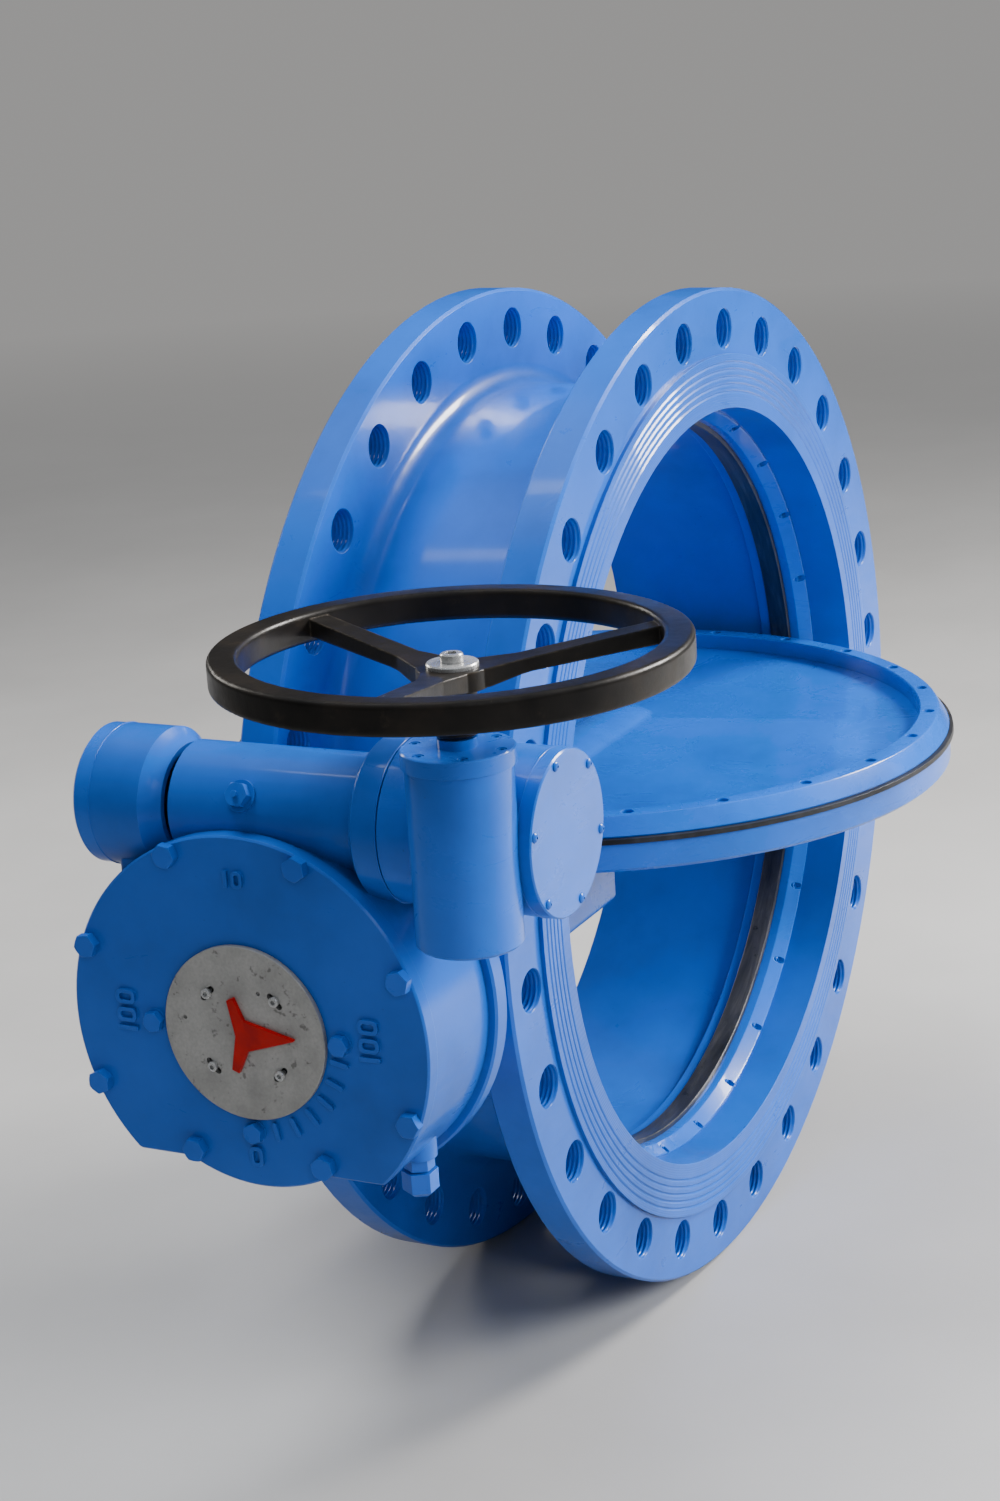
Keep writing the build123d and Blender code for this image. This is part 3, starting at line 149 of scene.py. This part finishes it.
class Mat(Nodes):
    """One procedural material, textured in object space."""

    def __init__(self, name):
        self.mat = bpy.data.materials.new(name)
        self.mat.use_nodes = True
        super().__init__(self.mat.node_tree)
        self.out = self.node("ShaderNodeOutputMaterial")
        self.bsdf = self.node("ShaderNodeBsdfPrincipled")
        self.link(self.bsdf.outputs[0], self.out.inputs[0])
        self.coords = self.node("ShaderNodeTexCoord").outputs["Object"]

    def noise(self, scale, detail=5, rough=0.6, distort=0.0, stretch=None):
        node = self.node("ShaderNodeTexNoise")
        coords = self.coords
        if stretch:
            mapping = self.node("ShaderNodeMapping")
            self.link(coords, mapping.inputs["Vector"])
            mapping.inputs["Scale"].default_value = stretch
            coords = mapping.outputs[0]
        self.link(coords, node.inputs["Vector"])
        self.put(node.inputs["Scale"], scale)
        self.put(node.inputs["Detail"], detail)
        self.put(node.inputs["Roughness"], rough)
        self.put(node.inputs["Distortion"], distort)
        return node.outputs[0]

    def fade(self, value, span, to=(0.0, 1.0)):
        """Map the span of values onto the 'to' range, clamped."""
        node = self.node("ShaderNodeMapRange")
        self.put(node.inputs["Value"], value)
        for socket, limit in zip(("From Min", "From Max", "To Min", "To Max"), (*span, *to)):
            node.inputs[socket].default_value = limit
        return node.outputs[0]

    def mix(self, color, over, amount):
        """Lay the colour 'over' on the first colour."""
        node = self.node("ShaderNodeMix", data_type="RGBA")
        for index, value in ((0, amount), (6, color), (7, over)):
            self.put(node.inputs[index], value)
        return node.outputs[2]

    def bevel(self, radius, samples=4):
        node = self.node("ShaderNodeBevel", samples=samples)
        node.inputs["Radius"].default_value = radius
        return node.outputs[0]

    def edge_turn(self, rounded):
        """Cosine between the rounded and plain normals: below 1 along edges."""
        node = self.node("ShaderNodeVectorMath", operation="DOT_PRODUCT")
        self.link(rounded, node.inputs[0])
        self.link(self.node("ShaderNodeNewGeometry").outputs["Normal"], node.inputs[1])
        return node.outputs["Value"]

    def bump(self, height, strength, distance, normal=None):
        node = self.node("ShaderNodeBump")
        node.inputs["Strength"].default_value = strength
        node.inputs["Distance"].default_value = distance
        self.link(height, node.inputs["Height"])
        if normal is not None:
            self.link(normal, node.inputs["Normal"])
        return node.outputs[0]

    def crevice(self, distance):
        """Openness of the surface: low in corners."""
        node = self.node("ShaderNodeAmbientOcclusion", samples=6, only_local=False)
        node.inputs["Distance"].default_value = distance
        return node.outputs["AO"]

    def finish(self, color, rough, normal, metal=0.0, coat=0.0, coat_rough=0.1, specular=0.5):
        for socket, value in (
            ("Base Color", color), ("Roughness", rough), ("Normal", normal), ("Metallic", metal),
            ("Coat Weight", coat), ("Coat Roughness", coat_rough), ("Specular IOR Level", specular),
        ):
            self.put(self.bsdf.inputs[socket], value)
        return self.mat


# ------------------------------------------------------------ materials
def turning_marks(m, normal):
    """Fine concentric grooves on the outer flat faces, around the bore."""
    x, y, z = m.split(m.coords)
    radius = m.hypot(x, z)
    groove = m.math("SINE", m.times(radius, 2 * math.pi / RING_PITCH))
    normal_y = m.split(m.node("ShaderNodeNewGeometry").outputs["True Normal"])[1]
    flat = m.math("GREATER_THAN", m.math("ABSOLUTE", normal_y), 0.9)
    within = m.times(flat, m.math("LESS_THAN", radius, RING_MAX_RADIUS))
    within = m.times(within, m.math("GREATER_THAN", m.math("ABSOLUTE", y), RING_MIN_Y))
    return m.bump(m.times(groove, within), strength=0.22, distance=0.0004, normal=normal)


def blue_paint(name, cast, bevel, base=(0.006, 0.106, 0.52), gloss=0.25, rings=False):
    """Blue coating; cast scales the unevenness, gloss is the middle roughness."""
    m = Mat(name)
    color = m.ramp(m.noise(scale=5.0),
                   [(0.30, tint(base, 0.78)), (0.5, base), (0.72, tint(base, 1.14, lift=0.002))])
    # painted shade in corners, where shade falls, broken into dust-like patches; and dark specks
    openness = m.crevice(distance=0.030)
    corner = m.math("SUBTRACT", 1.0, m.fade(openness, span=(0.15, 0.78)), clamp=True)
    patches = m.fade(m.noise(scale=26, detail=6, rough=0.65), span=(0.35, 0.7), to=(0.25, 0.75))
    painted_shade_and_dust = m.times(corner, patches, clamp=True)
    # painted shade: corners are darkened, in dust-like patches
    color = m.mix(color, over=tint(base, 0.40), amount=painted_shade_and_dust)
    specks = m.fade(m.noise(scale=230, detail=2, rough=0.5), span=(0.73, 0.80))
    color = m.mix(color, over=(0.012, 0.03, 0.09), amount=m.times(specks, 0.35))
    smear = m.noise(scale=9.0, detail=6, rough=0.7, distort=0.8, stretch=(1, 1, 2.6))
    rough = m.fade(smear, span=(0.3, 0.75), to=(gloss - 0.07, gloss + 0.13))
    rough = m.add(rough, m.times(painted_shade_and_dust, 0.25), clamp=True)
    # painted highlight: outer edges are lightened as if they catch the light
    rounded = m.bevel(bevel, samples=5)
    painted_edge_highlight = m.times(m.fade(m.edge_turn(rounded), span=(0.985, 0.86)),
                   m.fade(openness, span=(0.45, 0.85)), clamp=True)
    color = m.mix(color, over=(0.035, 0.24, 0.80), amount=m.times(painted_edge_highlight, 0.75))
    # orange peel, sand grain and a slow wave
    peel = m.noise(scale=75, detail=3, rough=0.5)
    sand = m.noise(scale=330, detail=2, rough=0.5)
    wave = m.noise(scale=13, detail=2, rough=0.5)
    height = m.add(m.times(peel, 0.40 * cast), m.times(sand, 0.12 * cast))
    height = m.add(height, m.times(wave, 1.1 * cast))
    normal = m.bump(height, strength=0.20, distance=0.0011, normal=rounded)
    if rings:
        normal = turning_marks(m, normal)
    return m.finish(color, m.add(rough, 0.07), normal, coat=0.55, specular=0.28,
                    coat_rough=m.fade(smear, span=(0.3, 0.75), to=(0.05, 0.13)))


def metal(name, base, rough, brush=(1, 1, 1), spots=False, bump=0.25, scale=420, metallic=1.0):
    """Bare metal with fine tool marks, stretched by brush, and optional dark spots."""
    m = Mat(name)
    cloud = m.noise(scale=22)
    color = m.ramp(cloud, [(0.3, tint(base, 0.72)), (0.55, base), (0.8, tint(base, 1.18))])
    fine = m.noise(scale=scale, detail=3, stretch=brush)
    color = m.mix(color, over=tint(base, 0.55),
                  amount=m.fade(fine, span=(0.35, 0.7), to=(0.0, 0.30)))
    if spots:
        dots = m.fade(m.noise(scale=75, detail=3), span=(0.62, 0.69))
        color = m.mix(color, over=(0.09, 0.085, 0.08), amount=m.times(dots, 0.60))
    # painted shade: the metal is darkened in crevices where shade falls
    color = m.mix(color, over=tint(base, 0.25),
                  amount=m.fade(m.crevice(distance=0.012), span=(0.2, 0.9), to=(0.55, 0.0)))
    grain = m.add(m.times(fine, 0.6), m.times(cloud, 0.4))
    return m.finish(color, m.fade(grain, span=(0.3, 0.7), to=(rough - 0.09, rough + 0.12)),
                    m.bump(fine, strength=bump, distance=0.0004, normal=m.bevel(0.0008)),
                    metal=metallic)


def rubber(name):
    """Black rubber with a thin dust."""
    m = Mat(name)
    base = (0.012, 0.012, 0.013)
    cloud = m.noise(scale=30)
    color = m.ramp(cloud, [(0.3, base), (0.75, tint(base, 2.6, lift=0.004))])
    dust = m.fade(m.noise(scale=120, rough=0.7), span=(0.55, 0.75), to=(0.0, 0.35))
    color = m.mix(color, over=(0.06, 0.06, 0.058), amount=dust)
    normal = m.bump(m.noise(scale=700, detail=3), strength=0.3, distance=0.0003,
                    normal=m.bevel(0.0008))
    return m.finish(color, m.fade(cloud, span=(0.3, 0.7), to=(0.28, 0.45)), normal)


def enamel(name):
    """Near-black stoved enamel with handling wear, for the handwheel."""
    m = Mat(name)
    color = m.ramp(m.noise(scale=14, rough=0.62),
                   [(0.3, (0.0055, 0.0050, 0.0048)), (0.55, (0.0115, 0.0098, 0.0085)),
                    (0.8, (0.026, 0.0185, 0.0125))])
    rounded = m.bevel(0.003, samples=6)
    wear = m.times(m.fade(m.edge_turn(rounded), span=(0.985, 0.90)),
                   m.fade(m.noise(scale=60, rough=0.7), span=(0.42, 0.62)), clamp=True)
    color = m.mix(color, over=(0.11, 0.085, 0.060), amount=m.times(wear, 0.55))
    rub = m.fade(m.noise(scale=48, detail=6, rough=0.72), span=(0.60, 0.72))
    color = m.mix(color, over=(0.055, 0.040, 0.026), amount=m.times(rub, 0.30))
    fine = m.times(m.noise(scale=420, detail=2, rough=0.5), 0.3)
    height = m.add(m.noise(scale=90, detail=3, rough=0.5), fine)
    normal = m.bump(height, strength=0.25, distance=0.0009, normal=rounded)
    rough = m.fade(m.noise(scale=20, detail=6, rough=0.7), span=(0.3, 0.75), to=(0.26, 0.46))
    return m.finish(color, rough, normal, coat=0.08, coat_rough=0.2, specular=0.30)


def red_paint(name):
    """Red paint with small dark chips."""
    m = Mat(name)
    cloud = m.noise(scale=40)
    color = m.ramp(cloud, [(0.3, (0.33, 0.0002, 0.0006)), (0.55, (0.45, 0.0003, 0.0008)),
                           (0.8, (0.54, 0.0008, 0.0015))])
    chips = m.fade(m.noise(scale=260, detail=3), span=(0.70, 0.76), to=(0.0, 0.5))
    color = m.mix(color, over=(0.14, 0.010, 0.008), amount=chips)
    normal = m.bump(m.noise(scale=260, detail=3, rough=0.5), strength=0.2, distance=0.0004,
                    normal=m.bevel(0.0010))
    return m.finish(color, m.fade(cloud, span=(0.3, 0.7), to=(0.30, 0.46)), normal,
                    coat=0.15, coat_rough=0.12, specular=0.3)


def gasket(name):
    """Dull fibrous sheet."""
    m = Mat(name)
    fibres = m.noise(scale=300, detail=4, rough=0.7)
    color = m.ramp(fibres, [(0.35, (0.018, 0.024, 0.03)), (0.7, (0.05, 0.06, 0.065))])
    return m.finish(color, m.fade(fibres, span=(0.3, 0.7), to=(0.7, 0.9)),
                    m.bump(fibres, strength=0.4, distance=0.0003))


def seat_metal(name):
    """Turned stainless seat, stained and greased, with marks around the bore."""
    m = Mat(name)
    streak = m.noise(scale=7, detail=6, rough=0.7, distort=0.4, stretch=(1, 6, 1))
    color = m.ramp(streak, [(0.25, (0.030, 0.034, 0.040)), (0.5, (0.085, 0.088, 0.090)),
                            (0.72, (0.20, 0.195, 0.185))])
    marks = m.fade(m.noise(scale=34, rough=0.75), span=(0.62, 0.68), to=(0.0, 0.8))
    color = m.mix(color, over=(0.018, 0.020, 0.022), amount=marks)
    turned = m.noise(scale=150, detail=2, rough=0.5, stretch=(0.05, 9, 0.05))
    normal = m.bump(turned, strength=0.3, distance=0.0005, normal=m.bevel(0.001))
    return m.finish(color, m.fade(streak, span=(0.3, 0.7), to=(0.28, 0.5)), normal, metal=0.75)


BODY = blue_paint("body_paint", cast=0.9, bevel=0.0012, rings=True)
THREAD = blue_paint("thread_paint", cast=0.2, bevel=0.0003, gloss=0.24)
CAST = blue_paint("casting_paint", cast=1.0, bevel=0.0008, base=(0.005, 0.098, 0.48))
DISC = blue_paint("disc_paint", cast=0.5, bevel=0.0014, gloss=0.20, base=(0.007, 0.122, 0.57))
TURNED = blue_paint("turned_cover_paint", cast=0.30, bevel=0.0009, gloss=0.22,
                    base=(0.007, 0.116, 0.56))
SMALL = blue_paint("fastener_paint", cast=0.4, bevel=0.0006, gloss=0.24)
STEEL = metal("machined_steel", base=(0.42, 0.42, 0.42), rough=0.34, brush=(1, 0.15, 1))
STAINLESS = metal("stainless", base=(0.55, 0.55, 0.54), rough=0.26, brush=(0.2, 1, 1))
ZINC = metal("bright_zinc", base=(0.78, 0.78, 0.77), rough=0.27, bump=0.12, scale=260,
             metallic=0.72)
DIAL = metal("dial_plate", base=(0.44, 0.43, 0.41), rough=0.38, spots=True, bump=0.30,
             scale=300, metallic=0.35)
BRONZE = metal("bronze", base=(0.50, 0.30, 0.13), rough=0.33)
IRON = metal("grey_iron", base=(0.20, 0.20, 0.20), rough=0.48, bump=0.5, scale=240,
             metallic=0.8)
SEAT = seat_metal("seat_metal")
BLACK = enamel("handwheel_enamel")
RUBBER = rubber("black_rubber")
RED = red_paint("pointer_paint")
GASKET = gasket("gasket_sheet")

# Pieces with a chosen material; the rest follow their material slot
PIECES = (
    (BODY, "valve_body"),
    (CAST, "gearbox_housing gearbox_cover"),
    (TURNED, "second_stage_housing second_stage_cover input_cap worm_end_cap idle_cover"),
    (DISC, "disc disc_clamp_ring seat_clamp_ring"),
    (SMALL, "cover_bolts cover_plugs disc_clamp_screws worm_cap_screws grease_plug stop_screw "
            "stop_lock_nut second_cover_screws input_cap_screws idle_cover_bolts "
            "gearbox_mounting_bolts seat_ring_screws"),
    (SEAT, "seat_ring"),
    (BLACK, "handwheel"),
    (ZINC, "handwheel_washer handwheel_bolt indicator_screws"),
    (DIAL, "indicator_plate"),
    (RED, "indicator_arrow"),
    (RUBBER, "disc_seal"),
)
BY_PIECE = {piece: mat for mat, pieces in PIECES for piece in pieces.split()}
BY_SLOT = {
    "blue_paint": SMALL, "stainless_steel": STAINLESS, "bronze": BRONZE,
    "black_rubber": RUBBER, "gasket_sheet": GASKET, "black_enamel": BLACK,
    "dial_steel": DIAL, "red_paint": RED, "grey_iron": IRON, "bright_zinc": ZINC,
    "machined_steel": STEEL,
}
slots = {part["node"]: part["material_slot"] for part in frame["record"]["subparts"]}


def dress(name, obj):
    """Give a CAD piece its material and clean, smooth shading."""
    mat = BY_PIECE.get(name) or BY_SLOT[slots[name]]
    if not obj.material_slots:
        obj.data.materials.append(mat)
    for slot in obj.material_slots:
        slot.material = mat
    obj.data.shade_smooth()
    weld = obj.modifiers.new("weld", "WELD")
    weld.merge_threshold = 0.00002
    split = obj.modifiers.new("edge_split", "EDGE_SPLIT")
    split.split_angle = math.radians(32)
    even = obj.modifiers.new("even_normals", "WEIGHTED_NORMAL")
    even.mode = "FACE_AREA_WITH_ANGLE"
    even.weight = 50


for piece_name, piece in frame["nodes"].items():
    dress(piece_name, piece)


# ------------------------------------------------------------ added meshes
def painted_mesh(name, verts, faces):
    mesh = bpy.data.meshes.new(name)
    mesh.from_pydata(verts, [], faces)
    mesh.validate()
    mesh.shade_smooth()
    obj = bpy.data.objects.new(name, mesh)
    bpy.context.scene.collection.objects.link(obj)
    mesh.materials.append(THREAD)
    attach(obj, "valve")


def thread_sleeves():
    """Threads down the wall of every flange hole: one helical liner in each."""
    verts, faces = [], []
    sides = THREAD_SIDES
    turns = [2 * math.pi * j / sides for j in range(sides)]
    for y0, y1, wall in HOLE_ENDS:
        rows = int(round((y1 - y0) / THREAD_PITCH * ROWS_PER_PITCH))
        for k in range(HOLE_COUNT):
            angle = math.radians(90 + HOLE_STEP / 2 + HOLE_STEP * k)
            hole_x = HOLE_CIRCLE_RADIUS * math.cos(angle)
            hole_z = HOLE_CIRCLE_RADIUS * math.sin(angle)
            base = len(verts)
            for i in range(rows + 1):
                y = y0 + (y1 - y0) * i / rows
                runout = min(1.0, i / RUNOUT_ROWS, (rows - i) / RUNOUT_ROWS)
                for j, turn in enumerate(turns):
                    phase = (y - y0) / THREAD_PITCH - j / sides
                    ridge = abs((phase % 1.0) * 2 - 1)
                    r = wall - LINER_GAP - THREAD_DEPTH * ridge * runout
                    verts.append((hole_x + r * math.cos(turn), y, hole_z + r * math.sin(turn)))
            r = wall + LINER_SINK
            for y in (y0, y1):
                for turn in turns:
                    verts.append((hole_x + r * math.cos(turn), y, hole_z + r * math.sin(turn)))
            last = base + rows * sides
            back0 = last + sides
            back1 = back0 + sides
            for j in range(sides):
                n = (j + 1) % sides
                for i in range(rows):
                    p = base + i * sides
                    q = p + sides
                    faces.append((p + j, p + n, q + n, q + j))
                faces.append((back0 + j, back0 + n, base + n, base + j))
                faces.append((last + j, last + n, back1 + n, back1 + j))
                faces.append((back1 + j, back1 + n, back0 + n, back0 + j))
    painted_mesh("flange_hole_threads", verts, faces)


def bead(name, piece_name, axis, level, radius, bead_radius):
    """Fillet of paint round a cover joint, a little uneven along its length."""
    centre = Vector([level if along else (low + high) / 2
                     for along, low, high in zip(axis, *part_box(piece_name))])
    axis = Vector(axis)
    side = axis.orthogonal().normalized()
    other = axis.cross(side)
    verts, faces = [], []
    for i in range(BEAD_STEPS):
        t = 2 * math.pi * i / BEAD_STEPS
        out = side * math.cos(t) + other * math.sin(t)
        wobble = (math.sin(5 * t + radius * 90) * 0.5 + math.sin(13 * t + 1.7) * 0.3
                  + math.sin(31 * t + radius * 40) * 0.2)
        r = bead_radius + BEAD_RIPPLE * wobble
        for j in range(BEAD_SIDES):
            u = 2 * math.pi * j / BEAD_SIDES
            point = centre + out * (radius + r * math.cos(u)) + axis * (r * math.sin(u))
            verts.append(tuple(point))
    for i in range(BEAD_STEPS):
        here = i * BEAD_SIDES
        ahead = (i + 1) % BEAD_STEPS * BEAD_SIDES
        for j in range(BEAD_SIDES):
            n = (j + 1) % BEAD_SIDES
            faces.append((here + j, ahead + j, ahead + n, here + n))
    painted_mesh(name, verts, faces)


thread_sleeves()
for row in BEADS:
    bead(*row)


# ------------------------------------------------------------ floor
def floor_material():
    """Pale floor, darker in reflections, fading into the backdrop with distance."""
    m = Mat("studio_floor")
    x, y, z = m.split(m.coords)
    away = m.hypot(x, y)
    color = m.ramp(m.noise(scale=1.2), [(0.3, (0.385, 0.379, 0.370)), (0.7, (0.45, 0.443, 0.433))])
    # painted shade: the floor colour darkens with distance from the valve, a painted falloff of the
    # light
    color = m.mix(color, over=(0.25, 0.247, 0.243), amount=m.fade(away, span=(3.0, 14.0)))
    rays = m.node("ShaderNodeLightPath").outputs
    side = m.fade(x, span=(-0.6, 1.6), to=(0.75, 0.0))
    color = m.mix(color, over=(0.05, 0.05, 0.05),
                  amount=m.times(rays["Is Glossy Ray"], side, clamp=True))
    m.finish(color, m.fade(m.noise(scale=3), span=(0.3, 0.7), to=(0.5, 0.68)),
             m.bump(m.noise(scale=60, detail=4), strength=0.08, distance=0.002), specular=0.3)
    haze = m.node("ShaderNodeEmission")
    m.put(haze.inputs["Color"], BACKDROP)
    blend = m.node("ShaderNodeMixShader")
    m.link(m.times(rays["Is Camera Ray"], m.fade(away, span=(1.6, 9.5))), blend.inputs[0])
    m.link(m.bsdf.outputs[0], blend.inputs[1])
    m.link(haze.outputs[0], blend.inputs[2])
    m.link(blend.outputs[0], m.out.inputs[0])
    return m.mat


bpy.ops.mesh.primitive_plane_add(size=FLOOR_SIZE, location=(0, 0, FLOOR_Z))
floor = bpy.context.object
floor.name = "studio_floor"
floor.data.materials.append(floor_material())


# ------------------------------------------------------------ light
def studio_world():
    """Dim sky, brighter overhead; the camera itself sees the plain backdrop."""
    world = bpy.data.worlds.new("studio")
    bpy.context.scene.world = world
    world.use_nodes = True
    w = Nodes(world.node_tree)
    z = w.split(w.node("ShaderNodeTexCoord").outputs["Generated"])["Z"]
    height = w.math("MULTIPLY_ADD", z, 0.5, 0.5)  # -1..1 to 0..1
    sky = w.node("ShaderNodeBackground")
    w.put(sky.inputs["Color"], w.ramp(height, [
        (0.50, (0.035, 0.036, 0.038)), (0.72, (0.07, 0.072, 0.076)), (1.0, (0.36, 0.39, 0.44))]))
    w.put(sky.inputs["Strength"], 0.8)
    pale = w.node("ShaderNodeBackground")
    w.put(pale.inputs["Color"], BACKDROP)
    pick = w.node("ShaderNodeMixShader")
    w.link(w.node("ShaderNodeLightPath").outputs["Is Camera Ray"], pick.inputs[0])
    w.link(sky.outputs[0], pick.inputs[1])
    w.link(pale.outputs[0], pick.inputs[2])
    w.link(pick.outputs[0], w.node("ShaderNodeOutputWorld").inputs[0])


LIGHTS = (  # name, location, aim, (width, height), watts, colour, what it lights
    ("key", (3.1, -2.7, 3.1), (0, 0, -0.1), (1.7, 1.3), 430, (1.0, 0.965, 0.92), "both"),
    ("front", (0.6, -4.3, 1.6), (0, 0, 0), (2.4, 1.8), 340, (0.96, 0.975, 1.0), "diffuse"),
    ("top", (-0.3, 0.9, 3.4), (0, 0, 0), (2.2, 1.6), 165, (0.95, 0.97, 1.0), "diffuse"),
    ("strip", (-0.5, 0.9, 3.2), (0, 0, 0), (0.16, 1.6), 3.2, (0.97, 0.98, 1.0), "glossy"),
    ("fill", (-3.6, -2.4, 2.2), (-0.4, 0, 0), (3.0, 2.0), 60, (0.86, 0.93, 1.0), "diffuse"),
    ("soft_box", (-3.4, -2.9, 2.6), (-0.4, 0, 0), (1.6, 1.0), 6, (0.90, 0.95, 1.0), "glossy"),
    ("glint", (2.0, -2.85, 2.3), (0.1, -0.4, 0), (0.7, 0.6), 34, (1.0, 0.985, 0.96), "glossy"),
    ("rim", (0.6, 3.4, 1.8), (0, 0, 0.2), (1.4, 1.0), 40, (1.0, 0.95, 0.88), "both"),
)


def area_light(name, location, aim, size, watts, color, lights):
    data = bpy.data.lights.new(name, "AREA")
    data.shape = "RECTANGLE"
    data.size, data.size_y = size
    data.energy = watts
    data.color = color
    lamp = bpy.data.objects.new(name, data)
    bpy.context.scene.collection.objects.link(lamp)
    lamp.location = location
    lamp.visible_glossy = lights != "diffuse"
    lamp.visible_diffuse = lights != "glossy"
    direction = Vector(aim) - Vector(location)
    lamp.rotation_euler = direction.to_track_quat("-Z", "Y").to_euler()


studio_world()
for row in LIGHTS:
    area_light(*row)

# ------------------------------------------------------------ camera
CAMERA_PLACE = (-3.0071, -1.4036, 1.0005)
YAW, TILT, ROLL = (math.radians(angle) for angle in (-62.88, 16.13, -3.58))

camera_data = bpy.data.cameras.new("camera")
camera = bpy.data.objects.new("camera", camera_data)
bpy.context.scene.collection.objects.link(camera)
bpy.context.scene.camera = camera
# back points away from the view; right and up are level before the roll
back = Vector((math.sin(YAW) * math.cos(TILT), -math.cos(YAW) * math.cos(TILT), math.sin(TILT)))
right = (-back).cross(Vector((0, 0, 1))).normalized()
up = right.cross(-back)
rolled_right = math.cos(ROLL) * right + math.sin(ROLL) * up
rolled_up = -math.sin(ROLL) * right + math.cos(ROLL) * up
turn = Matrix((rolled_right, rolled_up, back)).transposed().to_4x4()
camera.matrix_world = Matrix.Translation(CAMERA_PLACE) @ turn
camera_data.sensor_width = 36
camera_data.lens = 67.6804797
camera_data.clip_start = 0.05
camera_data.clip_end = 100
